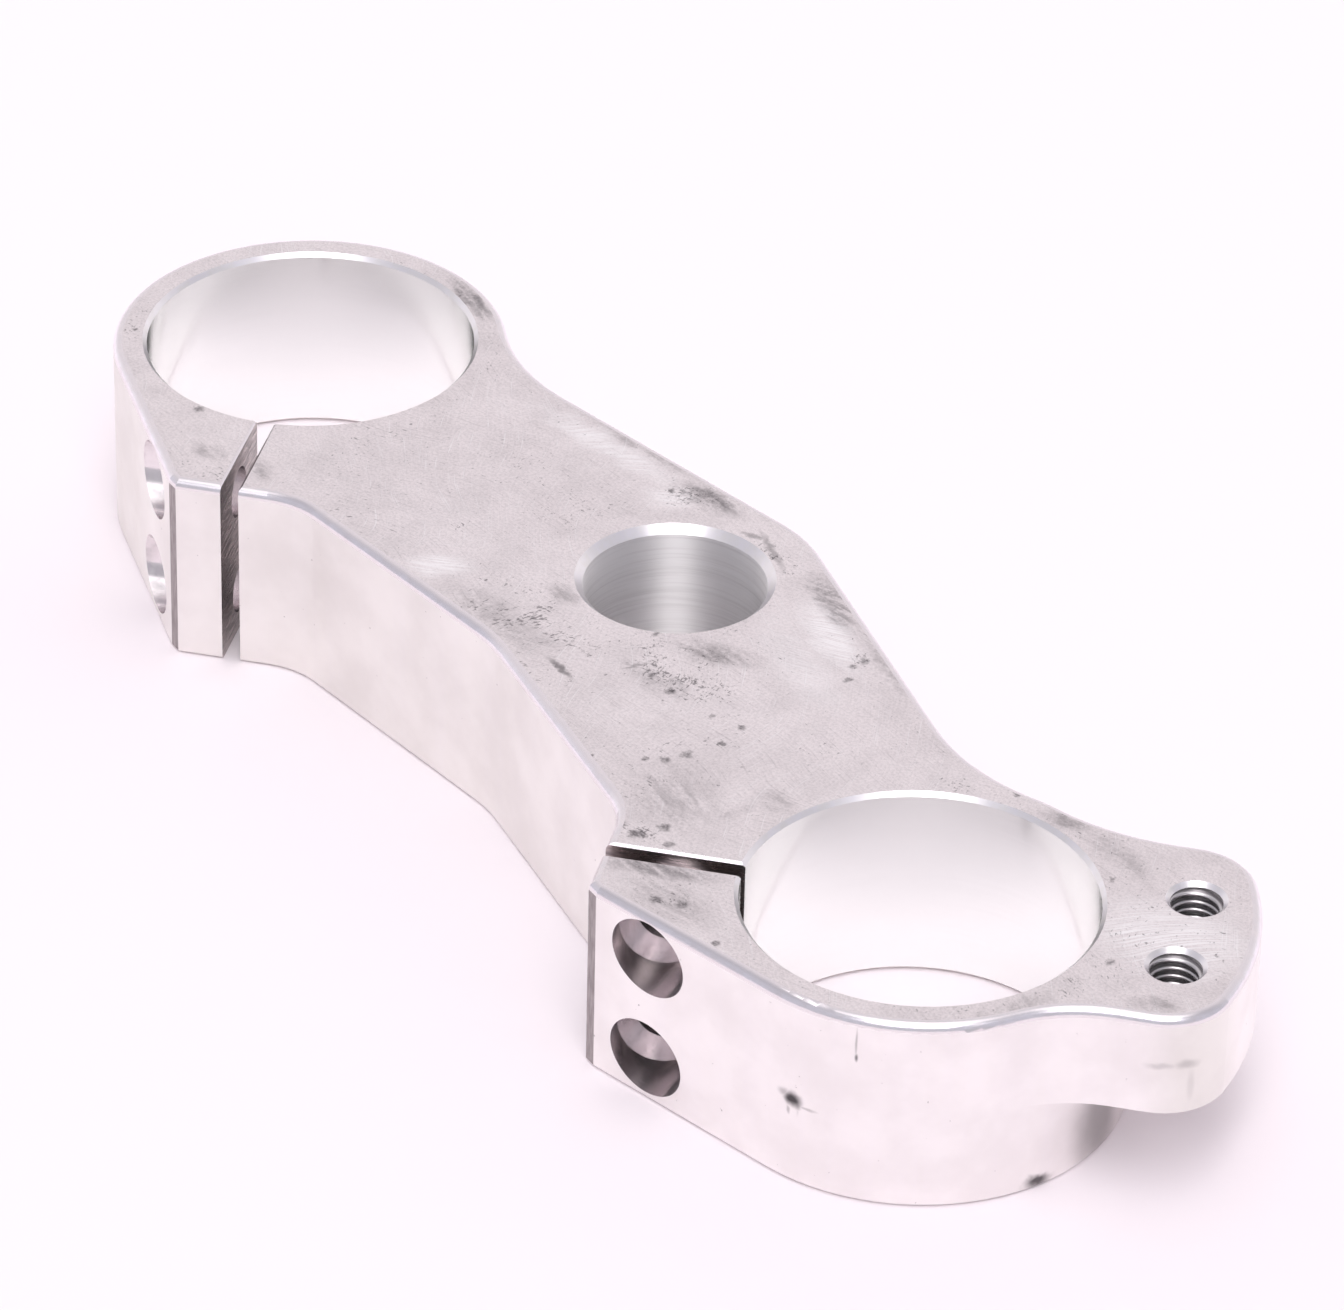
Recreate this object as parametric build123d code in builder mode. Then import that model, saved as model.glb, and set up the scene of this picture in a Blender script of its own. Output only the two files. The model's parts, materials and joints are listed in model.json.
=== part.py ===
from build123d import *
from math import atan2, cos, degrees, radians, sin, sqrt, tan
import os

# Machined billet triple clamp: two split fork clamps, a stem bore behind them and one mounting lug.
# Millimetres. The origin is on the stem axis at the bottom face. +X is the lug end, -Y the front, +Z up.

# Main sizes
height = 33.0
fork_bore = 54.0
fork_spacing = 184.0
fork_offset = 14.0
stem_bore = 29.3
ring_wall = 5.5
stem_wall = 9.7

# Front outline
ear_length = 21.4
ear_flat_angle = 15.0
ear_trim = 0.45
front_notch = 33.9
front_slope = 7.5
notch_round = 25.0
front_round = 14.0

# Rear outline
rear_slope = 12.0
rear_blend = 37.0

# Split and pinch bolts
slot_angle = 45.0
slot_width = 3.0
slot_break = 0.4
slot_break_angle = 45.0
bolt_spread = 18.2
bolt_clearance = 8.5
bolt_thread = 8.0
bolt_thread_depth = 20.0
head_bore = 12.5
head_cone = 60.0
head_seat = 2.8

# Mounting lug
lug_angle = 45.0
lug_reach = 50.7
lug_width = 45.0
lug_shift = 1.3
lug_thickness = 17.0
lug_round = 10.5
lug_flat = 0.5
lug_front_blend = 22.0
lug_rear_blend = 40.0
lug_hole = 8.0
lug_hole_break = 0.7
lug_hole_flare = 90.0
lug_hole_reach = 39.8
lug_hole_spread = 17.4

# Edges
edge_round = 1.5
bottom_break = 0.5
fork_bore_break = 0.7
stem_bore_break = 1.3

# Directions of the right-hand clamp, seen from its fork axis
fork = Vector(fork_spacing / 2, -fork_offset)
ring_radius = fork_bore / 2 + ring_wall
to_front = Vector(-cos(radians(slot_angle)), -sin(radians(slot_angle)))
to_body = Vector(-sin(radians(slot_angle)), cos(radians(slot_angle)))
flat_out = Vector(sin(radians(ear_flat_angle)), -cos(radians(ear_flat_angle)))
flat_along = Vector(cos(radians(ear_flat_angle)), sin(radians(ear_flat_angle)))
lug_out = Vector(cos(radians(lug_angle)), sin(radians(lug_angle)))
lug_side = Vector(-sin(radians(lug_angle)), cos(radians(lug_angle)))
rear_out = Vector(sin(radians(rear_slope)), cos(radians(rear_slope)))
rear_along = Vector(cos(radians(rear_slope)), -sin(radians(rear_slope)))

# Front corner points: the notch on the middle line, the front corner and the trimmed corner of the ear
front_reach = fork_bore / 2 + ear_length
skew = radians(slot_angle - ear_flat_angle)
notch = Vector(0, -front_notch)
rise = tan(radians(front_slope))
front_x = (front_reach - (notch - fork).dot(to_front)) / Vector(1, -rise).dot(to_front)
front_corner = notch + Vector(front_x, -rise * front_x)
ear_tip = fork + to_front * front_reach + to_body * ((front_reach * sin(skew) - ring_radius) / cos(skew))
ear_front = ear_tip + to_body * (ear_trim / to_body.Y)
ear_side = ear_tip + flat_along * (ear_trim / flat_along.Y)
ear_tangent = fork + flat_out * ring_radius

# Rear corner points: the boss round the stem and where its tangent line meets the fork ring
boss_radius = stem_bore / 2 + stem_wall
boss_tangent = rear_out * boss_radius
rear_lift = boss_radius - fork.dot(rear_out)
rear_meet = fork + rear_out * rear_lift - rear_along * sqrt(ring_radius**2 - rear_lift**2)


def flip(point):
    """The same point on the left-hand side."""
    return Vector(-point.X, point.Y)


def lug_point(radius, side):
    """A point of the lug at a radius from the fork axis and a distance to the side of its middle line."""
    across = lug_shift + side
    return fork + lug_out * sqrt(radius**2 - across**2) + lug_side * across


def wall_room(side):
    """The largest blend of a lug wall into the ring that leaves a flat before the lug's round corner."""
    across = abs(lug_shift + side)
    wall = sqrt((lug_reach - lug_round) ** 2 - (across - lug_round) ** 2) - lug_flat
    return (wall**2 + across**2 - ring_radius**2) / (2 * (ring_radius - across))


def ring_point(*ends):
    """A point on the right-hand fork ring halfway between two others on it."""
    turn = sum(degrees(atan2(end.Y - fork.Y, end.X - fork.X)) for end in ends) / 2
    return fork + Vector(cos(radians(turn)), sin(radians(turn))) * ring_radius


def corners(outline, *points):
    """The corners of an outline that lie at the given points."""
    return [outline.vertices().sort_by_distance(point)[0] for point in points]


# Lug corners, its feet on the ring and its tips on an arc round the same axis
lug_front_foot = lug_point(ring_radius, -lug_width / 2)
lug_front_tip = lug_point(lug_reach, -lug_width / 2)
lug_rear_tip = lug_point(lug_reach, lug_width / 2)
lug_rear_foot = lug_point(ring_radius, lug_width / 2)

# Outline that both levels share, from the right-hand ear round the front, left and rear to that ear's ring
with BuildLine() as shared:
    Polyline(ear_tangent, ear_side, ear_front, front_corner, notch)
    Polyline(notch, flip(front_corner), flip(ear_front), flip(ear_side), flip(ear_tangent))
    ThreePointArc(flip(ear_tangent), flip(ring_point(ear_tangent, rear_meet)), flip(rear_meet))
    Line(flip(rear_meet), flip(boss_tangent))
    ThreePointArc(flip(boss_tangent), (0, boss_radius), boss_tangent)
    Line(boss_tangent, rear_meet)

# Lower level: the plain fork ring closes the outline
with BuildSketch() as lower:
    with BuildLine():
        add(shared.line)
        ThreePointArc(ear_tangent, ring_point(ear_tangent, rear_meet), rear_meet)
    make_face()
    fillet(corners(lower, rear_meet, flip(rear_meet)), radius=rear_blend)
    fillet(corners(lower, front_corner, flip(front_corner)), radius=front_round)
    fillet(corners(lower, notch), radius=notch_round)

# Upper level: the lug stands out of the ring
with BuildSketch(Plane.XY.offset(height - lug_thickness)) as upper:
    with BuildLine():
        add(shared.line)
        ThreePointArc(ear_tangent, ring_point(ear_tangent, lug_front_foot), lug_front_foot)
        Line(lug_front_foot, lug_front_tip)
        ThreePointArc(lug_front_tip, lug_point(lug_reach, 0), lug_rear_tip)
        Line(lug_rear_tip, lug_rear_foot)
        ThreePointArc(lug_rear_foot, ring_point(lug_rear_foot, rear_meet), rear_meet)
    make_face()
    fillet(corners(upper, rear_meet, flip(rear_meet)), radius=rear_blend)
    fillet(corners(upper, front_corner, flip(front_corner)), radius=front_round)
    fillet(corners(upper, notch), radius=notch_round)
    fillet(corners(upper, lug_front_tip, lug_rear_tip), radius=lug_round)
    fillet(corners(upper, lug_front_foot), radius=min(lug_front_blend, wall_room(-lug_width / 2)))
    fillet(corners(upper, lug_rear_foot), radius=min(lug_rear_blend, wall_room(lug_width / 2)))

# What is cut out of one fork clamp besides its bore: the split and two pinch bolts across it, each with
# a counterbore that narrows in a cone to a clearance hole, and a blind threaded hole behind the split
half_slot = slot_width / 2
mouth_width = slot_width + 2 * slot_break
hang = (Align.CENTER, Align.MIN)
bolt_row = front_reach - ear_length / 2
bolt_mouth = (ring_radius - bolt_row * sin(skew)) / cos(skew)
bolt_points = [(0, (height - bolt_spread) / 2), (0, (height + bolt_spread) / 2)]
seat_start = half_slot + head_seat
seat_depth = (head_bore - bolt_clearance) / 2 / tan(radians(head_cone / 2))
on_seat = (Align.CENTER, Align.CENTER, Align.MIN)
slot_plane = Plane(origin=fork, x_dir=-to_body, z_dir=to_front)
ear_plane = Plane(origin=fork + to_front * bolt_row, x_dir=-to_front, z_dir=-to_body)
body_plane = Plane(origin=fork + to_front * bolt_row, x_dir=to_front, z_dir=to_body)

with BuildPart() as clamp_cut:
    with BuildSketch(slot_plane):
        with Locations((0, height / 2)):
            Rectangle(slot_width, height)
        with Locations((0, height)):
            Trapezoid(mouth_width, slot_break, slot_break_angle, rotation=180, align=hang)
    extrude(amount=front_reach + ring_wall)
    with BuildSketch(ear_plane):
        with Locations(bolt_points):
            Circle(bolt_clearance / 2)
    extrude(amount=seat_start)
    with Locations(ear_plane.offset(seat_start)):
        with Locations(*bolt_points):
            Cone(bolt_clearance / 2, head_bore / 2, seat_depth, align=on_seat)
    with BuildSketch(ear_plane.offset(seat_start + seat_depth)):
        with Locations(bolt_points):
            Circle(head_bore / 2)
    extrude(amount=bolt_mouth)
    with BuildSketch(body_plane):
        with Locations(bolt_points):
            Circle(bolt_thread / 2)
    extrude(amount=half_slot + bolt_thread_depth)

# The clamp itself, cut from the solid
with BuildPart() as triple_clamp:
    extrude(lower.sketch, amount=height - lug_thickness)
    extrude(upper.sketch, amount=lug_thickness)
    top = triple_clamp.faces().sort_by(Axis.Z)[-1]
    fillet(top.outer_wire().edges(), radius=edge_round)
    base = triple_clamp.faces().sort_by(Axis.Z)[0]
    chamfer(base.outer_wire().edges(), length=bottom_break)
    with Locations(fork, flip(fork)):
        Hole(fork_bore / 2)
    chamfer(triple_clamp.edges(Select.LAST).filter_by(GeomType.CIRCLE), length=fork_bore_break)
    Hole(stem_bore / 2)
    chamfer(triple_clamp.edges(Select.LAST).filter_by(GeomType.CIRCLE), length=stem_bore_break)
    lug_row = fork + lug_out * lug_hole_reach + lug_side * lug_shift + Vector(0, 0, height)
    half_row = lug_side * (lug_hole_spread / 2)
    with Locations(lug_row - half_row, lug_row + half_row):
        CounterSinkHole(lug_hole / 2, lug_hole / 2 + lug_hole_break, counter_sink_angle=lug_hole_flare)
    add(clamp_cut.part, mode=Mode.SUBTRACT)
    mirror(clamp_cut.part, about=Plane.YZ, mode=Mode.SUBTRACT)

triple_clamp.part.label = "triple_clamp"
os.makedirs("parts", exist_ok=True)
export_step(triple_clamp.part, "parts/triple_clamp.step")
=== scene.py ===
import json
from math import cos, pi, radians, sin

import bpy
from mathutils import Matrix, Vector


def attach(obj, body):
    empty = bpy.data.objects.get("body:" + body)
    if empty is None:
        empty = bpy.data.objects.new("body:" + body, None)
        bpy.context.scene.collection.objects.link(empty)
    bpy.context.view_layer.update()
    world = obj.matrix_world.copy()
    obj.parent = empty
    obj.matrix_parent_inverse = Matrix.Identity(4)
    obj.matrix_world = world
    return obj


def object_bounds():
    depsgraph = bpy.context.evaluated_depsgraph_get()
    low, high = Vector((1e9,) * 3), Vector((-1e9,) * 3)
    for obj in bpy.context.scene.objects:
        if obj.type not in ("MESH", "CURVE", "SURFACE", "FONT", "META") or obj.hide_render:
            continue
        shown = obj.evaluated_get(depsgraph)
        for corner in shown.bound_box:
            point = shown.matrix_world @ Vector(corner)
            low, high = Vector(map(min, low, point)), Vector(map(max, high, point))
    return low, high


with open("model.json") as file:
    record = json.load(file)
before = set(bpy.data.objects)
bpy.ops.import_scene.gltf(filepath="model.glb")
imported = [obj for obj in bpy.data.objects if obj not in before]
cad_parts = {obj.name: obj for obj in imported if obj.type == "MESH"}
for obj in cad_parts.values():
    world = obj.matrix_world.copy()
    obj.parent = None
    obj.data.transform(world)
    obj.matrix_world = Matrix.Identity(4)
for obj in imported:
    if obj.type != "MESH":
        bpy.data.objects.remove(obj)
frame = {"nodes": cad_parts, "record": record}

# Metres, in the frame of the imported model: origin on the stem axis at the floor, +X the lug end, -Y the front
CAD_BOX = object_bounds()
MM = 0.001
MOUNTS = {mount["name"]: mount for mount in frame["record"]["mounts"]}
CLAMP = frame["nodes"]["triple_clamp"]
TOP = CAD_BOX[1].z
TOP_MM = TOP / MM

# Camera
CAMERA_PLACE = (0.8595, -0.5449, 0.6927)
CAMERA_AIM = (0.0014, -0.0011, 0.0165)
CAMERA_ROLL = 1.363
CAMERA_LENS = 206.45
SENSOR_WIDTH = 36.0
FRAME_SHIFT = 0.0119

# Tent of light round the part: grey sides, a pale back and ceiling, and a lamp that narrows as it rises
VIEW_TURN = -32.4
TENT_SIDES = (0.56, 0.55, 0.60, 1.0)
TENT_BACK = (0.97, 0.93, 0.96, 1.0)
TENT_CEILING = (1.5, 1.46, 1.49, 1.0)
LAMP_COLOUR = (4.5, 4.39, 4.47, 1.0)

# Where the back, the ceiling and the lamp's sides, tip and foot fade, and how far back its sides would meet
BACK_EDGE = (0.1, 0.7)
CEILING_EDGE = (0.90, 0.98)
LAMP_SIDE = (0.24, 0.42)
LAMP_TIP = (-0.15, 0.05)
LAMP_FOOT = (0.60, 0.72)
LAMP_MEET = 0.25

# Table under the part
FLOOR_COLOUR = (0.96, 0.892, 0.925, 1.0)
FLOOR_GLOW = (1.0, 0.955, 0.98, 1.0)
FLOOR_GLOW_SHARE = 0.06
FLOOR_HALF = 4.0
FLOOR_DROP = 0.02 * MM

# Bare aluminium, as linear colours
TOP_PALE = (0.87, 0.81, 0.82, 1.0)
TOP_GREY = (0.82, 0.76, 0.77, 1.0)
WALL_PALE = (0.99, 0.965, 0.95, 1.0)
WALL_GREY = (0.90, 0.87, 0.855, 1.0)
WALL_DULL = (0.87, 0.877, 0.85, 1.0)
EDGE_COLOUR = (0.95, 0.92, 0.97, 1.0)
# Painted shade on the rounded edge, along its upper side and at its foot
EDGE_UPPER_SHADE = (0.74, 0.70, 0.725, 1.0)
EDGE_FOOT_SHADE = (0.85, 0.82, 0.825, 1.0)
CHAMFER_COLOUR = (0.95, 0.92, 0.955, 1.0)
BORE_COLOUR = (0.99, 1.0, 0.985, 1.0)
STEM_COLOUR = (0.98, 0.965, 0.965, 1.0)
HOLE_COLOUR = (0.865, 0.815, 0.825, 1.0)
# Painted shade: the lug's threads and hole walls are coloured dark for the shade inside the holes
THREAD_SHADE = (0.62, 0.60, 0.61, 1.0)
# Painted shade on the ears' trimmed corners, standing in for their dark reflection; the darker colour also
# serves as stain in the bores, threads, counterbores and split
FACET_PALE_SHADE = (0.44, 0.40, 0.40, 1.0)
STAIN_AND_FACET_SHADE = (0.30, 0.27, 0.27, 1.0)
# Painted shade: the split is coloured dark for the shade in the narrow gap
SPLIT_SHADE = (0.62, 0.54, 0.53, 1.0)
# Dark colour of dirt, also used for painted shade under the lug and along the right split
GRIME_AND_SHADE = (0.05, 0.045, 0.05, 1.0)
RUBBED_COLOUR = (0.97, 0.95, 0.96, 1.0)

# Roughness of the finishes, from and to
TOP_FINISH = (0.36, 0.50)
WALL_FINISH = (0.29, 0.42)
EDGE_FINISH = (0.22, 0.265)
CHAMFER_FINISH = (0.28, 0.38)
HOLE_FINISH = (0.21, 0.265)
THREAD_FINISH = (0.30, 0.36)
SPLIT_FINISH = (0.25, 0.35)
FACET_FINISH = (0.35, 0.5)

# Bored walls: roughness from and to, pitch and depth of the tool rings in mm, their tint, spread of the gloss
FORK_FINISH = (0.14, 0.18, 0.5, 0.0003, 0.02, 0.7)
STEM_FINISH = (0.62, 0.66, 0.5, 0.02, 0.14, 0.93)

# Spread of the gloss in the counterbores, and the turn that lays a spread along a hole's axis
HOLE_SPREAD = 0.8
QUARTER_TURN = 0.25

# How far the strokes on the top swirl in mm, and how often per mm
STROKE_DRIFT = 34.0
STROKE_SWIRL = 0.02

# Strokes of the pad, of smeared oil and of short dashes: turn in degrees, length and width in mm
PAD_STROKES = [(58.0, 9.0, 0.2), (15.0, 7.0, 0.22), (-40.0, 11.0, 0.18)]
SMEAR_STROKES = (5.0, 6.0, 1.6)
DASH_STROKES = [(20.0, 1.3, 0.55), (-65.0, 1.0, 0.5)]

# How dark the films (with the painted shadow along the right split), scrapes, dashes and dots of the top are at
# most, and how much a film dulls it
FILM_AND_SHADOW_DARK = 0.75
SCRAPE_DARK = 0.85
DASH_DARK = 0.62
DOT_DARK = 0.88
FILM_DULL = 0.15

# Level above which the grain of the top shows as specks, and how far dirt lowers it
SPECK_LEVEL = 0.72
SPECK_DROP = 0.19

# Shares of the size of a patch or spot between which it fades
PATCH_FADE = (0.2, 1.1)

# Depths below the top in mm between which painted shade turns the rounded edge grey at its upper side and at
# its foot
EDGE_UPPER_SHADE_BAND = (0.6, 0.05)
EDGE_FOOT_SHADE_BAND = (1.2, 0.8)

# Oily films on the top, the one along the right split partly painted shadow: place and half sizes in mm, turn
# in degrees, strength
FILMS_AND_SPLIT_SHADOW = [
    ((-16.5, 17.0), (8.5, 3.6), 14, 0.85),
    ((-36.0, 16.0), (18.0, 2.0), 12, 0.45),
    ((18.5, 17.6), (10.5, 3.4), -12, 0.85),
    ((38.0, 15.0), (10.0, 1.6), -12, 0.4),
    ((22.0, -5.8), (8.5, 3.6), 35, 0.7),
    ((-4.5, -17.8), (4.5, 2.6), 0, 0.5),
    ((-4.0, -30.0), (16.0, 5.0), 8, 0.4),
    ((24.0, -17.8), (10.0, 3.6), 10, 0.4),
    ((60.2, -19.5), (4.6, 4.0), 20, 0.4),
    ((59.8, -26.0), (5.0, 1.4), 88, 0.3),
    ((52.0, -32.0), (13.0, 8.0), -20, 0.4),
    ((-89.0, 15.3), (9.0, 2.4), -3, 0.9),
    ((87.0, 16.0), (6.0, 2.6), 25, 0.6),
    ((98.0, 17.6), (12.0, 3.0), 4, 0.4),
    # Partly oily film, partly painted shadow along the ear side of the right split
    ((66.8, -43.2), (12.0, 3.4), 45, 0.8),
    ((75.0, -46.4), (12.0, 5.0), 15, 0.35),
    ((-69.0, -45.6), (4.8, 2.4), 10, 0.5),
    ((-60.0, -41.0), (4.0, 2.0), -20, 0.45),
    ((132.0, 0.6), (5.0, 3.0), 50, 0.55),
    ((122.5, -18.0), (3.0, 12.0), 0, 0.35),
]

# Areas of the top rubbed brighter, written the same way
RUBBED = [
    ((-21.5, -30.5), (6.5, 4.8), 58, 1.0),
    ((-38.0, 11.0), (20.0, 3.4), 12, 0.8),
    ((-20.0, 11.5), (5.5, 4.0), 35, 0.8),
    ((26.0, 12.0), (13.0, 4.6), -12, 0.9),
    ((30.0, 4.0), (16.0, 6.0), -10, 0.45),
    ((119.0, 12.0), (16.0, 11.0), 40, 0.85),
]

# Short dark scrapes on the top, written the same way
SCRAPES = [
    ((13.0, -28.9), (4.2, 0.9), 0, 0.75),
    ((18.2, -18.5), (3.0, 0.5), 85, 0.4),
    ((1.0, 17.4), (7.5, 0.9), -14, 0.5),
    ((-4.0, 17.2), (3.0, 0.8), 30, 0.5),
]

# Areas of the top with many specks, written the same way
SPECKS = [
    ((-19.5, 14.5), (8.0, 6.0), 40, 0.8),
    ((2.0, 17.4), (11.0, 3.0), -10, 1.0),
    ((34.8, 12.4), (4.5, 3.0), -20, 0.8),
    ((-5.0, -31.0), (12.0, 4.0), 8, 0.9),
    ((0.0, -25.0), (22.0, 10.0), 10, 0.95),
    ((23.0, -13.0), (18.0, 10.0), 20, 0.95),
    ((40.0, -18.0), (7.0, 14.0), 15, 0.6),
    ((57.0, -41.0), (6.0, 4.0), 30, 1.0),
    ((-89.0, 15.3), (9.0, 2.4), -3, 0.7),
    ((-66.0, -48.0), (11.0, 6.0), 15, 0.6),
    ((92.0, 16.4), (12.0, 3.0), 10, 0.7),
    ((70.5, 6.5), (5.0, 4.0), 40, 0.7),
    ((75.0, -46.0), (9.0, 5.0), 15, 0.6),
    ((-110.0, -36.0), (9.0, 5.0), -38, 0.7),
    ((121.0, -6.0), (5.0, 14.0), 10, 0.6),
    ((55.0, -8.0), (9.0, 12.0), 0, 0.45),
    ((-29.0, -22.0), (5.0, 3.0), 30, 0.8),
]

# Single spots on the top: place and radius in mm
SPOTS = [
    ((43.0, -24.5), 1.3), ((42.5, -28.0), 1.2), ((43.2, -18.3), 0.8), ((40.8, -30.5), 0.7),
    ((53.4, -42.8), 1.5), ((57.2, -42.0), 1.6), ((57.8, -37.5), 1.3), ((62.0, -39.2), 1.1),
    ((76.0, -45.6), 1.3), ((73.0, -48.4), 1.2), ((87.0, -46.6), 0.9), ((102.8, 13.0), 0.8),
    ((21.8, -17.8), 0.9), ((27.0, -17.4), 1.1), ((36.0, -15.6), 0.8), ((41.0, -13.2), 0.9),
    ((12.3, -11.0), 0.7), ((34.8, 12.9), 1.1), ((35.2, 10.5), 0.8), ((38.0, 8.0), 0.9),
    ((120.0, 0.8), 1.0), ((77.0, 13.3), 0.9), ((36.0, -37.2), 0.7),
    ((-81.3, -40.8), 1.2), ((-108.5, -37.9), 0.6), ((-22.0, 13.0), 0.8),
]

# Duller walls, the long front wall and the end of the lug: place and half sizes in mm, strength
DULL_WALLS = [
    ((-30.0, -42.0, 16.0), (115.0, 30.0, 90.0), 0.75),
    ((-97.0, -42.0, 16.0), (38.0, 38.0, 90.0), 0.9),
    ((139.0, 6.0, 24.0), (8.0, 16.0, 30.0), 1.0),
]

# Smudges and scratches on the walls, and painted shade on the ring's wall under the lug: place and half sizes
# in mm, how far they are torn, strength
WALL_MARKS_AND_SHADE = [
    ((104.8, -43.9, 14.9), (2.0, 2.0, 1.8), 1.6, 0.95),
    ((103.2, -44.3, 15.6), (1.6, 1.6, 1.2), 1.2, 0.4),
    ((107.2, -43.2, 14.2), (2.2, 2.2, 0.35), 0.8, 0.35),
    ((105.6, -43.7, 12.6), (0.4, 0.4, 1.2), 0.8, 0.5),
    ((104.0, -44.1, 12.8), (0.4, 0.4, 0.9), 0.8, 0.4),
    ((113.1, -38.7, 28.6), (0.25, 0.25, 3.2), 0.2, 0.4),
    ((113.2, -38.7, 26.0), (0.35, 0.35, 0.9), 0.2, 0.75),
    ((124.3, -13.2, 1.2), (3.0, 3.2, 1.5), 2.5, 0.9),
    ((135.4, -0.2, 24.5), (2.4, 3.0, 0.8), 1.2, 0.22),
    ((137.2, 3.3, 24.6), (1.6, 2.4, 1.1), 1.2, 0.28),
    ((137.3, 4.1, 20.8), (0.7, 0.8, 3.6), 0.5, 0.12),
    # Painted shade on the ring's wall under the lug
    ((121.5, 0.0, 7.0), (5.0, 9.0, 12.0), 1.0, 0.5),
]

# Upright bores, and how far from their walls a chamfer reaches at most
BORES = ("stem_bore", "fork_right", "fork_left")
RIM_WIDTH = 1.4 * MM

# Clamps: half the split, the counterbores' radius, how far from its mount a pinch screw's hole may reach
SPLIT_HALF = 1.5 * MM
HEAD_RADIUS = 6.25 * MM
EAR_DEPTH = 40.0 * MM

# How far out from the middle the trimmed corners of the ears begin
FACET_FROM = 50.0 * MM

# How faces are told apart: normals that look straight along, nearly along or across a direction, and slack
STRAIGHT = 0.999
NEARLY = 0.99
ACROSS = 0.05
SLACK = 0.15 * MM

# Thread of the lug holes, its ridge's profile as shares of its depth and pitch, and how it runs out
THREAD_PITCH = 1.4 * MM
THREAD_DEPTH = 0.6 * MM
THREAD_GAP = 0.03 * MM
THREAD_STEPS = 40
THREAD_PROFILE = [(0.0, -0.46), (0.85, -0.12), (1.0, -0.05), (1.0, 0.05), (0.85, 0.12), (0.0, 0.46)]
THREAD_RISE = 4
THREAD_LEAST = 0.05
THREAD_ROOM = 0.95 * THREAD_PITCH

# Lug: its thickness and the break at the mouths of its holes
LUG_THICKNESS = 17.0 * MM
LUG_HOLE_BREAK = 0.7 * MM

# Directions in which the two holes of the lug and of each ear stand in a row
LUG_ROW = Vector((-sin(radians(45.0)), cos(radians(45.0)), 0.0))
PINCH_ROW = Vector((0.0, 0.0, 1.0))


def add(tree, kind, sockets=None, **settings):
    """A new shader node with its settings made and its inputs set or plugged in."""
    made = tree.nodes.new(kind)
    for name, value in settings.items():
        setattr(made, name, value)
    for name, value in (sockets or {}).items():
        fill(tree, made.inputs[name], value)
    return made


def fill(tree, socket, value):
    """Sets an input to a value, or plugs another node's output into it."""
    if isinstance(value, bpy.types.NodeSocket):
        tree.links.new(value, socket)
    else:
        socket.default_value = value


def count(tree, operation, first, second=0.0):
    """A sum, product or other function of two numbers."""
    return add(tree, "ShaderNodeMath", {0: first, 1: second}, operation=operation).outputs[0]


def vector(tree, operation, first, second):
    """A function of two vectors."""
    return add(tree, "ShaderNodeVectorMath", {0: first, 1: second}, operation=operation).outputs[0]


def between(tree, value, low, high, start=0.0, end=1.0):
    """A number that runs smoothly from start to end while the value runs from low to high."""
    sockets = {"Value": value, "From Min": low, "From Max": high, "To Min": start, "To Max": end}
    return add(tree, "ShaderNodeMapRange", sockets, interpolation_type="SMOOTHSTEP").outputs[0]


def tint(tree, share, first, second, way="MIX"):
    """Two colours mixed by a share."""
    mixed = add(tree, "ShaderNodeMix", data_type="RGBA", blend_type=way, clamp_factor=True)
    fill(tree, mixed.inputs[0], share)
    fill(tree, mixed.inputs[6], first)
    fill(tree, mixed.inputs[7], second)
    return mixed.outputs[2]


def soil(tree, colour, second, mask, low, high, share):
    """A colour that turns into a second one, by a share at most, while a mask runs from low to high."""
    return tint(tree, between(tree, mask, low, high, 0.0, share), colour, second)


def in_mm(tree):
    """Where a point of the surface lies on the part, in millimetres."""
    place = add(tree, "ShaderNodeTexCoord").outputs["Object"]
    return vector(tree, "MULTIPLY", place, (1000.0, 1000.0, 1000.0))


def cloud(tree, place, size, detail=3.0, rough=0.55):
    """Soft irregular variation with patches of about the given size in mm."""
    sockets = {"Vector": place, "Scale": 1.0 / size, "Detail": detail, "Roughness": rough}
    return add(tree, "ShaderNodeTexNoise", sockets).outputs[0]


def drawn(tree, place, stretch, size, detail=3.0, rough=0.55):
    """Variation as in a cloud, drawn out along the axes where the stretch is small."""
    return cloud(tree, vector(tree, "MULTIPLY", place, stretch), size, detail, rough)


def strokes(tree, place, turn, length, width):
    """Fine lines in one direction, as an abrasive pad or a cutter leaves them."""
    shape = {
        "Vector": place,
        "Location": (0.0, 0.0, 0.0),
        "Rotation": (0.0, 0.0, radians(turn)),
        "Scale": (length, width, width),
    }
    lined = add(tree, "ShaderNodeMapping", shape, vector_type="TEXTURE").outputs[0]
    return cloud(tree, lined, 1.0, 2.0)


def patch(tree, place, at, half, turn=0.0):
    """1 in the middle of an oval patch, 0 outside it."""
    shape = {
        "Vector": place,
        "Location": (*at, TOP_MM) if len(at) == 2 else at,
        "Rotation": (0.0, 0.0, radians(turn)),
        "Scale": (*half, half[0]) if len(half) == 2 else half,
    }
    local = add(tree, "ShaderNodeMapping", shape, vector_type="TEXTURE").outputs[0]
    away = add(tree, "ShaderNodeVectorMath", {0: local}, operation="LENGTH").outputs["Value"]
    return between(tree, away, *PATCH_FADE, 1.0, 0.0)


def spot(tree, place, at, radius):
    """1 in the middle of a round spot on the top, 0 outside it."""
    sockets = {0: place, 1: (*at, TOP_MM)}
    away = add(tree, "ShaderNodeVectorMath", sockets, operation="DISTANCE").outputs["Value"]
    return between(tree, away, *(share * radius for share in PATCH_FADE), 1.0, 0.0)


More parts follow.
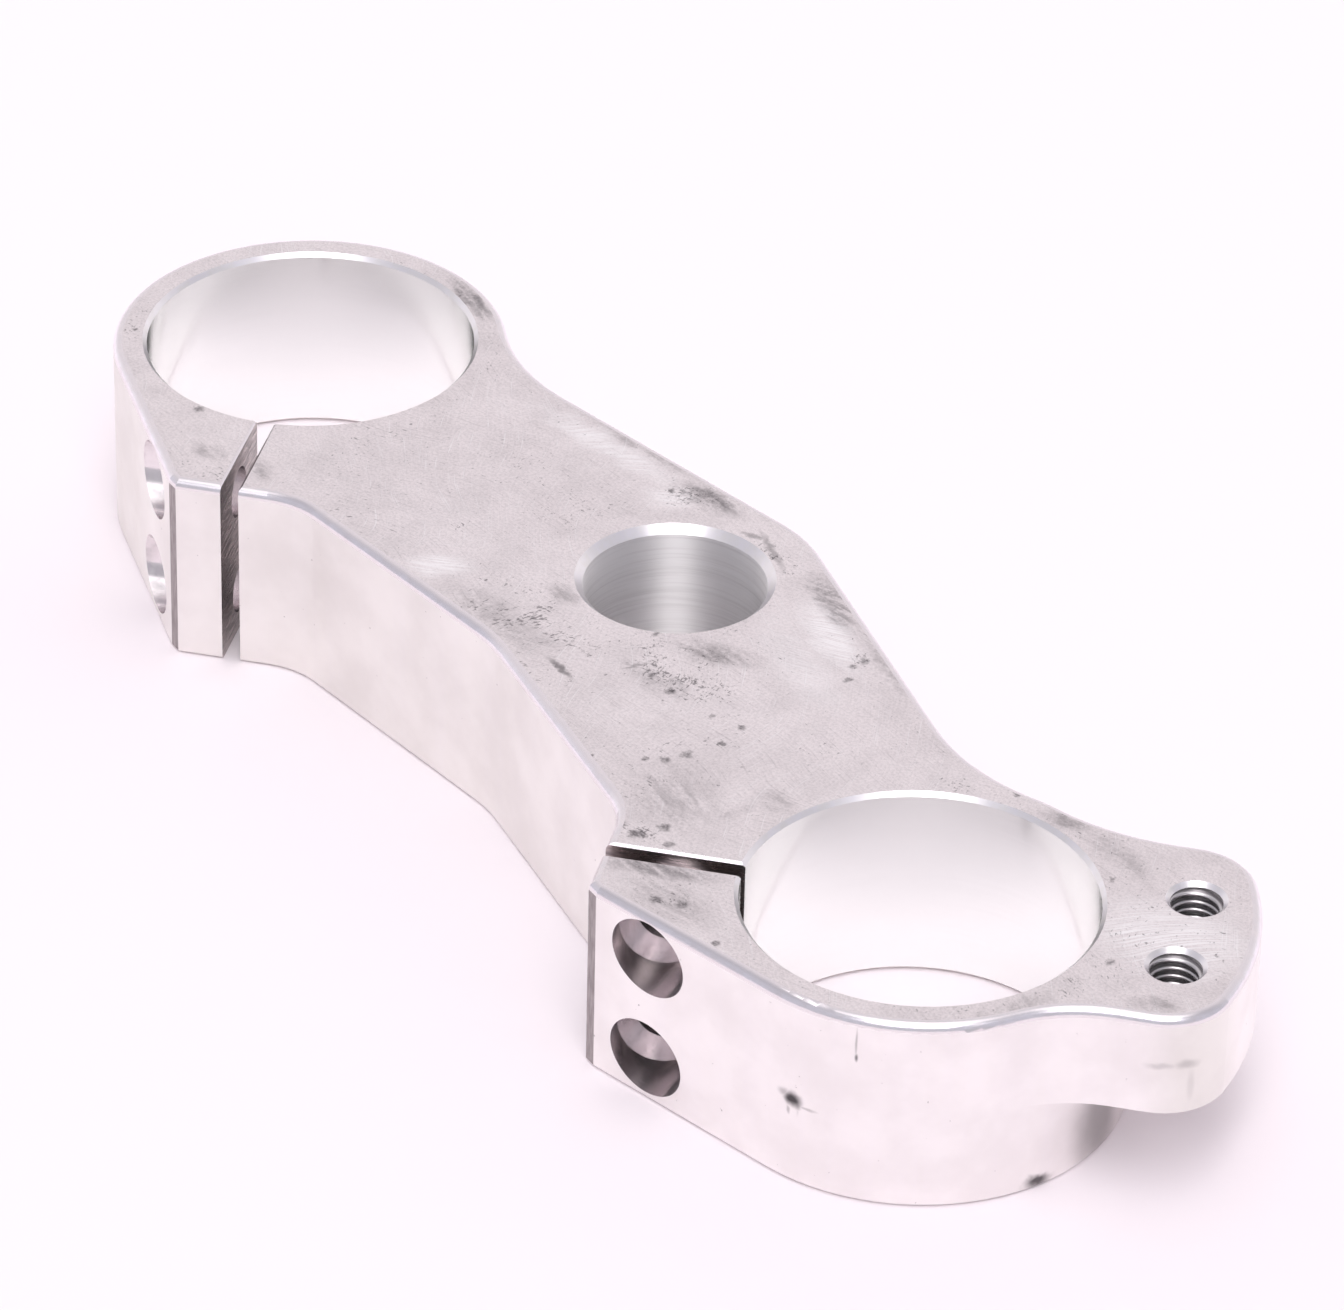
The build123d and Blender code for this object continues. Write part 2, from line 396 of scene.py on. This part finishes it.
def torn(tree, place, reach, size):
    """A place moved about by up to half the reach, so that what is drawn there gets a ragged outline."""
    moved = add(tree, "ShaderNodeTexNoise", {"Vector": place, "Scale": 1.0 / size}).outputs["Color"]
    moved = vector(tree, "SUBTRACT", moved, (0.5, 0.5, 0.5))
    return vector(tree, "ADD", place, vector(tree, "MULTIPLY", moved, (reach, reach, reach)))


def most(tree, values):
    """The largest of several numbers."""
    top = values[0]
    for value in values[1:]:
        top = count(tree, "MAXIMUM", top, value)
    return top


def spread_over(tree, place, patches):
    """How strongly any of several patches covers a point."""
    covers = []
    for *shape, strength in patches:
        covers.append(count(tree, "MULTIPLY", patch(tree, place, *shape), strength))
    return most(tree, covers)


def metal(name):
    """A new bare metal material, with its node tree and its shader."""
    made = bpy.data.materials.new(name)
    made.use_nodes = True
    shader = made.node_tree.nodes["Principled BSDF"]
    shader.inputs["Metallic"].default_value = 1.0
    return made, made.node_tree, shader


def plug(tree, shader, colour, roughness, height, depth, strength, normal=None):
    """Connects colour, roughness and surface relief to a shader. The depth of the relief is in mm."""
    tree.links.new(colour, shader.inputs["Base Color"])
    tree.links.new(roughness, shader.inputs["Roughness"])
    relief = {"Height": height, "Distance": depth * MM, "Strength": strength}
    if normal is not None:
        relief["Normal"] = normal
    tree.links.new(add(tree, "ShaderNodeBump", relief).outputs[0], shader.inputs["Normal"])


def draw_gloss(tree, shader, axis, radial, spread):
    """Draws the gloss of a round wall out along its axis."""
    tree.links.new(vector(tree, "CROSS_PRODUCT", axis, radial), shader.inputs["Tangent"])
    shader.inputs["Anisotropic"].default_value = spread
    shader.inputs["Anisotropic Rotation"].default_value = QUARTER_TURN


def pad_marks(tree, place, broad, lines, stroke):
    """Colour of the top as the abrasive pad left it: hair lines, fine grain and areas rubbed brighter."""
    first, second, third = stroke
    colour = tint(tree, broad, TOP_PALE, TOP_GREY)
    colour = soil(tree, colour, GRIME_AND_SHADE, cloud(tree, place, 7.0, 4.0, 0.6), 0.35, 0.75, 0.10)
    colour = soil(tree, colour, GRIME_AND_SHADE, lines, 0.42, 0.62, 0.08)
    colour = soil(tree, colour, GRIME_AND_SHADE, cloud(tree, place, 0.5, 3.0, 0.7), 0.35, 0.7, 0.17)
    colour = soil(tree, colour, GRIME_AND_SHADE, second, 0.60, 0.72, 0.12)
    colour = soil(tree, colour, RUBBED_COLOUR, first, 0.60, 0.72, 0.3)
    colour = soil(tree, colour, RUBBED_COLOUR, third, 0.60, 0.72, 0.45)
    rubbed = spread_over(tree, torn(tree, place, 5.0, 5.0), RUBBED)
    rubbed = count(tree, "MULTIPLY", rubbed, between(tree, first, 0.42, 0.58, 0.2, 1.0))
    return tint(tree, rubbed, colour, RUBBED_COLOUR)


def films_and_split_shadow(tree, ragged, swirl, grain):
    """How thick the oily films lie on the top, with the painted shadow along the ear side of the right split.
    """
    smear = strokes(tree, swirl, *SMEAR_STROKES)
    worn = between(tree, count(tree, "ADD", grain, smear), 0.72, 1.24, 0.15, 1.0)
    return count(tree, "MULTIPLY", spread_over(tree, ragged, FILMS_AND_SPLIT_SHADOW), worn)


def specks(tree, place, ragged, swirl, broad, grain):
    """How dark the short dashes on the top are, and how dark its flecks and spots."""
    loose = between(tree, broad, 0.0, 1.0, 0.0, 0.5)
    dirt = count(tree, "MAXIMUM", spread_over(tree, ragged, SPECKS), loose)
    clumps = between(tree, cloud(tree, place, 4.5, 4.0, 0.65), 0.40, 0.60, 0.25, 1.0)
    dirt = count(tree, "MULTIPLY", dirt, clumps)
    limit = count(tree, "SUBTRACT", SPECK_LEVEL, count(tree, "MULTIPLY", dirt, SPECK_DROP))
    dashes = most(tree, [strokes(tree, swirl, *lay) for lay in DASH_STROKES])
    dashes = between(tree, count(tree, "SUBTRACT", dashes, limit), -0.02, 0.10)
    flecks = cloud(tree, place, 0.7, 3.0)
    flecks = between(tree, count(tree, "SUBTRACT", flecks, limit), 0.03, 0.13, 0.0, 0.7)
    frayed = torn(tree, place, 1.7, 1.0)
    spots = most(tree, [spot(tree, frayed, *mark) for mark in SPOTS])
    spots = count(tree, "MULTIPLY", spots, between(tree, grain, 0.34, 0.58, 0.3, 0.85))
    return dashes, count(tree, "MAXIMUM", flecks, spots)


def top_metal():
    """Flat top, rubbed with an abrasive pad, with oily films (partly painted shadow along the right split),
    scrapes, specks and spots.
    """
    made, tree, shader = metal("aluminium_top")
    place = in_mm(tree)
    drift = add(tree, "ShaderNodeTexNoise", {"Vector": place, "Scale": STROKE_SWIRL, "Detail": 1.0})
    drift = vector(tree, "MULTIPLY", drift.outputs["Color"], (STROKE_DRIFT, STROKE_DRIFT, 0.0))
    swirl = vector(tree, "ADD", place, drift)
    first, second, third = (strokes(tree, swirl, *lay) for lay in PAD_STROKES)
    lines = count(tree, "ADD", count(tree, "ADD", first, second), third)
    lines = count(tree, "MULTIPLY", lines, 1.0 / 3.0)
    broad = between(tree, cloud(tree, place, 26.0, 2.5, 0.5), 0.25, 0.75)
    colour = pad_marks(tree, place, broad, lines, (first, second, third))

    ragged = torn(tree, place, 3.0, 2.2)
    grain = cloud(tree, place, 1.1, 6.0, 0.8)
    film = films_and_split_shadow(tree, ragged, swirl, grain)
    # The films darken the top; along the right split that darkening is partly painted shadow
    colour = tint(tree, count(tree, "MULTIPLY", film, FILM_AND_SHADOW_DARK), colour, GRIME_AND_SHADE)
    scraped = spread_over(tree, torn(tree, place, 1.6, 1.4), SCRAPES)
    colour = tint(tree, count(tree, "MULTIPLY", scraped, SCRAPE_DARK), colour, GRIME_AND_SHADE)
    dashes, dots = specks(tree, place, ragged, swirl, broad, grain)
    colour = tint(tree, count(tree, "MULTIPLY", dashes, DASH_DARK), colour, GRIME_AND_SHADE)
    colour = tint(tree, count(tree, "MULTIPLY", dots, DOT_DARK), colour, GRIME_AND_SHADE)

    dull = between(tree, lines, 0.35, 0.65, *TOP_FINISH)
    dull = count(tree, "ADD", dull, count(tree, "MULTIPLY", film, FILM_DULL))
    plug(tree, shader, colour, dull, lines, depth=0.02, strength=0.2)
    return made


def wall_metal():
    """Outer walls, finely side milled: faint upright bands, pale clouds, duller areas, dark knocks and painted
    shade under the lug.
    """
    made, tree, shader = metal("aluminium_wall")
    place = in_mm(tree)
    bands = drawn(tree, place, (1.0, 1.0, 0.05), 2.2, 2.0)
    lay = drawn(tree, place, (0.05, 0.05, 1.0), 0.25, 2.0)
    clouds = cloud(tree, place, 14.0, 4.0)
    colour = tint(tree, between(tree, clouds, 0.28, 0.70), WALL_PALE, WALL_GREY)
    colour = soil(tree, colour, EDGE_COLOUR, bands, 0.35, 0.85, 0.10)
    colour = tint(tree, spread_over(tree, place, DULL_WALLS), colour, WALL_DULL, "MULTIPLY")
    marks = []
    for at, half, reach, strength in WALL_MARKS_AND_SHADE:
        mark = patch(tree, torn(tree, place, reach, 2.5), at, half)
        marks.append(count(tree, "MULTIPLY", mark, strength))
    # Darkens the smudges and knocks, and paints the shade on the ring's wall under the lug
    colour = tint(tree, most(tree, marks), colour, GRIME_AND_SHADE)
    colour = soil(tree, colour, GRIME_AND_SHADE, cloud(tree, place, 1.1, 2.0), 0.74, 0.80, 0.5)
    dull = between(tree, clouds, 0.15, 0.85, *WALL_FINISH)
    plug(tree, shader, colour, dull, lay, depth=0.01, strength=0.15)
    return made


def edge_metal():
    """The rounded top edge: painted shade along its upper side and its foot leaves it brighter between, with
    small nicks.
    """
    made, tree, shader = metal("aluminium_edge")
    place = in_mm(tree)
    level = add(tree, "ShaderNodeSeparateXYZ", {"Vector": place}).outputs["Z"]
    # rubbed is the share of painted shade along the round's upper side; foot is the share of painted shade at
    # its foot
    rubbed = between(tree, level, *(TOP_MM - depth for depth in EDGE_UPPER_SHADE_BAND))
    foot = between(tree, level, *(TOP_MM - depth for depth in EDGE_FOOT_SHADE_BAND), 1.0, 0.0)
    colour = tint(tree, foot, tint(tree, rubbed, EDGE_COLOUR, EDGE_UPPER_SHADE), EDGE_FOOT_SHADE)
    colour = soil(tree, colour, TOP_GREY, cloud(tree, place, 2.5, 4.0), 0.3, 0.8, 0.6)
    dull = between(tree, cloud(tree, place, 5.0), 0.2, 0.8, *EDGE_FINISH)
    plug(tree, shader, colour, dull, cloud(tree, place, 1.2), depth=0.02, strength=0.1)
    return made


def chamfer_metal():
    """The chamfers of the bores and holes: turned smooth, a little greyer in places."""
    made, tree, shader = metal("aluminium_chamfer")
    place = in_mm(tree)
    worn = between(tree, cloud(tree, place, 2.5, 4.0), 0.3, 0.8)
    colour = tint(tree, worn, CHAMFER_COLOUR, WALL_GREY)
    dull = between(tree, cloud(tree, place, 5.0), 0.2, 0.8, *CHAMFER_FINISH)
    plug(tree, shader, colour, dull, cloud(tree, place, 1.2), depth=0.02, strength=0.1)
    return made


def bore_metal(bore, name, shade, low, high, pitch, depth, stain, spread):
    """A bored wall with rings left by the tool. The gloss is drawn out along the axis by the spread."""
    made, tree, shader = metal(name)
    place = in_mm(tree)
    rings = drawn(tree, place, (0.02, 0.02, 1.0), pitch, 3.0, 0.7)
    broad = drawn(tree, place, (0.2, 0.2, 1.0), 6.0, 2.0)
    colour = soil(tree, shade, STAIN_AND_FACET_SHADE, rings, 0.4, 0.75, stain)
    dull = between(tree, broad, 0.3, 0.7, low, high)
    from_middle = vector(tree, "SUBTRACT", place, (*axis_of(bore), 0.0))
    inward = vector(tree, "MULTIPLY", from_middle, (-1.0, -1.0, 0.0))
    round_wall = add(tree, "ShaderNodeVectorMath", {0: inward}, operation="NORMALIZE").outputs[0]
    plug(tree, shader, colour, dull, rings, depth, 1.0, round_wall)
    draw_gloss(tree, shader, (0.0, 0.0, 1.0), round_wall, spread)
    return made


def thread_metal():
    """Threaded holes: glossy metal painted dark as shade, with a little stain."""
    made, tree, shader = metal("aluminium_thread")
    place = in_mm(tree)
    fine = cloud(tree, place, 0.35, 2.0)
    colour = soil(tree, THREAD_SHADE, STAIN_AND_FACET_SHADE, cloud(tree, place, 4.0), 0.4, 0.8, 0.35)
    dull = between(tree, fine, 0.3, 0.7, *THREAD_FINISH)
    plug(tree, shader, colour, dull, fine, depth=0.01, strength=0.15)
    return made


def counterbore_metal(name, pinch):
    """Counterbores of one ear: turned and a little stained, with the gloss drawn out along their axes."""
    made, tree, shader = metal(name)
    place = in_mm(tree)
    fine = cloud(tree, place, 0.35, 2.0)
    colour = soil(tree, HOLE_COLOUR, STAIN_AND_FACET_SHADE, cloud(tree, place, 3.0), 0.4, 0.8, 0.4)
    dull = between(tree, fine, 0.3, 0.7, *HOLE_FINISH)
    plug(tree, shader, colour, dull, fine, depth=0.01, strength=0.15)
    mount = MOUNTS[pinch]
    middle = tuple(part / MM for part in mount["pos_m"])
    apart = add(tree, "ShaderNodeSeparateXYZ", {0: vector(tree, "SUBTRACT", place, middle)}).outputs
    to_hole = count(tree, "MULTIPLY", count(tree, "SIGN", apart[2]), mount["dims"]["pcd_mm"] / 2)
    sockets = {0: apart[0], 1: apart[1], 2: count(tree, "SUBTRACT", apart[2], to_hole)}
    from_hole_axis = add(tree, "ShaderNodeCombineXYZ", sockets).outputs[0]
    draw_gloss(tree, shader, tuple(mount["axis"]), from_hole_axis, HOLE_SPREAD)
    return made


def split_metal():
    """The sawn split of the clamps: painted dark as shade, with fine lines along the saw's path."""
    made, tree, shader = metal("aluminium_split")
    lines = drawn(tree, in_mm(tree), (0.1, 0.1, 1.0), 0.4, 3.0)
    colour = tint(tree, between(tree, lines, 0.3, 0.7), SPLIT_SHADE, STAIN_AND_FACET_SHADE)
    dull = between(tree, lines, 0.3, 0.7, *SPLIT_FINISH)
    plug(tree, shader, colour, dull, lines, depth=0.02, strength=0.2)
    return made


def facet_metal():
    """The narrow trimmed corner of each ear: darker by painted shade that stands in for its dark reflection,
    with faint upright streaks.
    """
    made, tree, shader = metal("aluminium_facet")
    streaks = drawn(tree, in_mm(tree), (1.0, 1.0, 0.15), 0.5, 3.0)
    colour = tint(tree, between(tree, streaks, 0.2, 0.8), FACET_PALE_SHADE, STAIN_AND_FACET_SHADE)
    dull = between(tree, streaks, 0.3, 0.7, *FACET_FINISH)
    plug(tree, shader, colour, dull, streaks, depth=0.02, strength=0.2)
    return made


def axis_of(name):
    """Where a mount's upright axis stands, in mm."""
    return tuple(part / MM for part in MOUNTS[name]["pos_m"][:2])


def from_axis(point, name):
    """Distance of a point from an upright line through a mount."""
    return (point.xy - Vector(MOUNTS[name]["pos_m"][:2])).length


def bore_radius(name):
    """Radius of an upright bore."""
    return MOUNTS[name]["dims"]["r_mm"] * MM


def lug_hole_radius():
    """Radius of the lug's threaded holes."""
    return MOUNTS["lug_holes"]["dims"]["hole_r_mm"] * MM


def hole_pair(name):
    """Middles of the two holes of a bolt pattern."""
    mount = MOUNTS[name]
    row = LUG_ROW if name == "lug_holes" else PINCH_ROW
    half = row * (mount["dims"]["pcd_mm"] / 2 * MM)
    return Vector(mount["pos_m"]) - half, Vector(mount["pos_m"]) + half


def from_hole(point, name):
    """Distance of a point from the nearer hole axis of a bolt pattern."""
    axis = Vector(MOUNTS[name]["axis"])
    offsets = [point - middle for middle in hole_pair(name)]
    return min((offset - axis * offset.dot(axis)).length for offset in offsets)


def clamp_kind(point, normal, pinch, fork):
    """The finish of a face in the split or the counterbores of one clamp, or None outside them."""
    along = Vector(MOUNTS[pinch]["axis"])
    facing = abs(normal.dot(along))
    from_split = abs((point - Vector(MOUNTS[fork]["pos_m"])).dot(along))
    if facing > NEARLY and from_split < SPLIT_HALF + SLACK:
        return "split"
    near = from_axis(point, pinch) < EAR_DEPTH
    from_screw = from_hole(point, pinch)
    on_wall = from_screw < HEAD_RADIUS + SLACK and facing < ACROSS
    if near and (from_screw < HEAD_RADIUS - SLACK or on_wall):
        return pinch
    return None


def surface_kind(point, normal):
    """Which finish a face of the clamp has, from where it lies and which way it looks."""
    upright = abs(normal.z) < ACROSS
    if normal.z > STRAIGHT and point.z > TOP - SLACK:
        return "top"
    for bore in BORES:
        if upright and from_axis(point, bore) < bore_radius(bore) + SLACK:
            return bore
    for pinch, fork in (("pinch_right", "fork_right"), ("pinch_left", "fork_left")):
        kind = clamp_kind(point, normal, pinch, fork)
        if kind:
            return kind
    from_thread = from_hole(point, "lug_holes") - lug_hole_radius()
    if upright and from_thread < SLACK and point.z > TOP - LUG_THICKNESS:
        return "thread"
    if normal.y < -STRAIGHT and abs(point.x) > FACET_FROM:
        return "facet"
    rims = [from_axis(point, bore) - bore_radius(bore) for bore in BORES]
    if normal.z > ACROSS:
        return "chamfer" if min(*rims, from_thread) < RIM_WIDTH else "edge"
    return "wall"


def dress_clamp():
    """Gives every face of the clamp its finish."""
    finishes = {
        "top": top_metal(),
        "wall": wall_metal(),
        "edge": edge_metal(),
        "chamfer": chamfer_metal(),
        "stem_bore": bore_metal("stem_bore", "aluminium_stem", STEM_COLOUR, *STEM_FINISH),
        "fork_right": bore_metal("fork_right", "aluminium_fork_right", BORE_COLOUR, *FORK_FINISH),
        "fork_left": bore_metal("fork_left", "aluminium_fork_left", BORE_COLOUR, *FORK_FINISH),
        "pinch_right": counterbore_metal("aluminium_pinch_right", "pinch_right"),
        "pinch_left": counterbore_metal("aluminium_pinch_left", "pinch_left"),
        "thread": thread_metal(),
        "split": split_metal(),
        "facet": facet_metal(),
    }
    CLAMP.data.materials.clear()
    for finish in finishes.values():
        CLAMP.data.materials.append(finish)
    order = list(finishes)
    for face in CLAMP.data.polygons:
        face.material_index = order.index(surface_kind(face.center, face.normal))
    return finishes


def ridge_points(foot, steps, outer):
    """The points of a helical ridge, one profile per step, low at its two ends."""
    points = []
    for step in range(steps + 1):
        turn = 2 * pi * step / THREAD_STEPS
        lift = THREAD_PITCH * (step / THREAD_STEPS + 0.5)
        full = min(1.0, THREAD_RISE * step / THREAD_STEPS, THREAD_RISE * (steps - step) / THREAD_STEPS)
        for rise, side in THREAD_PROFILE:
            reach = outer - THREAD_DEPTH * rise * max(full, THREAD_LEAST)
            points.append(foot + Vector((reach * cos(turn), reach * sin(turn), lift + side * THREAD_PITCH)))
    return points


def ridge_faces(steps):
    """The faces between the profiles of a helical ridge, and the two that close its ends."""
    ring = len(THREAD_PROFILE)
    faces = []
    for low in range(0, steps * ring, ring):
        for corner in range(ring):
            beside = (corner + 1) % ring
            faces.append((low + corner, low + ring + corner, low + ring + beside, low + beside))
    faces.append(tuple(range(ring)))
    faces.append(tuple(reversed(range(steps * ring, steps * ring + ring))))
    return faces


def thread(name, foot, length, radius, finish):
    """An internal screw thread: one helical ridge that runs out towards the wall of its hole at both ends."""
    steps = int(length / THREAD_PITCH * THREAD_STEPS)
    mesh = bpy.data.meshes.new(name)
    mesh.from_pydata(ridge_points(foot, steps, radius - THREAD_GAP), [], ridge_faces(steps))
    mesh.update()
    ring = len(THREAD_PROFILE)
    for face in mesh.polygons[:steps * ring]:
        face.use_smooth = face.index % ring != ring - 1
    mesh.materials.append(finish)
    piece = bpy.data.objects.new(name, mesh)
    bpy.context.scene.collection.objects.link(piece)
    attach(piece, "root")


def lug_threads(finish):
    """The threads of the two lug holes."""
    length = LUG_THICKNESS - LUG_HOLE_BREAK - THREAD_ROOM
    for name, middle in zip(("lug_thread_front", "lug_thread_rear"), hole_pair("lug_holes")):
        thread(name, Vector((middle.x, middle.y, TOP - LUG_THICKNESS)), length, lug_hole_radius(), finish)


def floor():
    """A wide pale table: matt, so that it keeps the shadow, with a faint glow for the eye and the metal."""
    mesh = bpy.data.meshes.new("floor")
    half = FLOOR_HALF
    corners = [(-half, -half, 0), (half, -half, 0), (half, half, 0), (-half, half, 0)]
    mesh.from_pydata(corners, [], [(0, 1, 2, 3)])
    table = bpy.data.objects.new("floor", mesh)
    table.location.z = -FLOOR_DROP
    bpy.context.scene.collection.objects.link(table)

    made = bpy.data.materials.new("floor_white")
    made.use_nodes = True
    tree = made.node_tree
    tree.nodes.clear()
    path = add(tree, "ShaderNodeLightPath").outputs
    seen = most(tree, [path["Is Camera Ray"], path["Is Glossy Ray"], path["Is Transmission Ray"]])
    share = count(tree, "MULTIPLY", seen, FLOOR_GLOW_SHARE)
    matt = add(tree, "ShaderNodeBsdfDiffuse", {"Color": FLOOR_COLOUR}).outputs[0]
    glow = add(tree, "ShaderNodeEmission", {"Color": FLOOR_GLOW, "Strength": 1.0}).outputs[0]
    mixed = add(tree, "ShaderNodeMixShader", {0: share, 1: matt, 2: glow}).outputs[0]
    add(tree, "ShaderNodeOutputMaterial", {"Surface": mixed})
    mesh.materials.append(made)


def toward(tree, facing, direction):
    """How nearly a ray runs in a direction."""
    sockets = {0: facing, 1: direction}
    return add(tree, "ShaderNodeVectorMath", sockets, operation="DOT_PRODUCT").outputs["Value"]


def tent():
    """Soft light from a tent with a pale back and ceiling, and a lamp that narrows as it rises to the top."""
    world = bpy.data.worlds.new("tent")
    bpy.context.scene.world = world
    world.use_nodes = True
    tree = world.node_tree
    tree.nodes.clear()
    facing = add(tree, "ShaderNodeTexCoord").outputs["Generated"]
    turn = radians(VIEW_TURN)
    back = toward(tree, facing, (-cos(turn), -sin(turn), 0.0))
    up = toward(tree, facing, (0.0, 0.0, 1.0))
    aside = toward(tree, facing, (-sin(turn), cos(turn), 0.0))
    colour = tint(tree, between(tree, back, *BACK_EDGE), TENT_SIDES, TENT_BACK)
    colour = tint(tree, between(tree, up, *CEILING_EDGE), colour, TENT_CEILING)
    front = count(tree, "MULTIPLY", back, -1.0)
    width = count(tree, "ABSOLUTE", aside)
    width = count(tree, "DIVIDE", width, count(tree, "ADD", front, LAMP_MEET))
    lamp = between(tree, width, *LAMP_SIDE, 1.0, 0.0)
    lamp = count(tree, "MULTIPLY", lamp, between(tree, up, *LAMP_FOOT))
    lamp = count(tree, "MULTIPLY", lamp, between(tree, front, *LAMP_TIP))
    colour = tint(tree, lamp, colour, LAMP_COLOUR)
    light = add(tree, "ShaderNodeBackground", {"Color": colour, "Strength": 1.0}).outputs[0]
    add(tree, "ShaderNodeOutputWorld", {"Surface": light})


def camera():
    """The camera where the photograph was taken from."""
    lens = bpy.data.cameras.new("camera")
    lens.sensor_fit = "HORIZONTAL"
    lens.sensor_width = SENSOR_WIDTH
    lens.lens = CAMERA_LENS
    lens.shift_y = FRAME_SHIFT
    eye = bpy.data.objects.new("camera", lens)
    bpy.context.scene.collection.objects.link(eye)
    place = Matrix.Translation(CAMERA_PLACE)
    looking = (Vector(CAMERA_AIM) - Vector(CAMERA_PLACE)).to_track_quat("-Z", "Y").to_matrix().to_4x4()
    roll = Matrix.Rotation(radians(CAMERA_ROLL), 4, "Z")
    eye.matrix_world = place @ looking @ roll
    bpy.context.scene.camera = eye


finishes = dress_clamp()
lug_threads(finishes["thread"])
floor()
tent()
camera()
bpy.context.scene.view_settings.view_transform = "Standard"
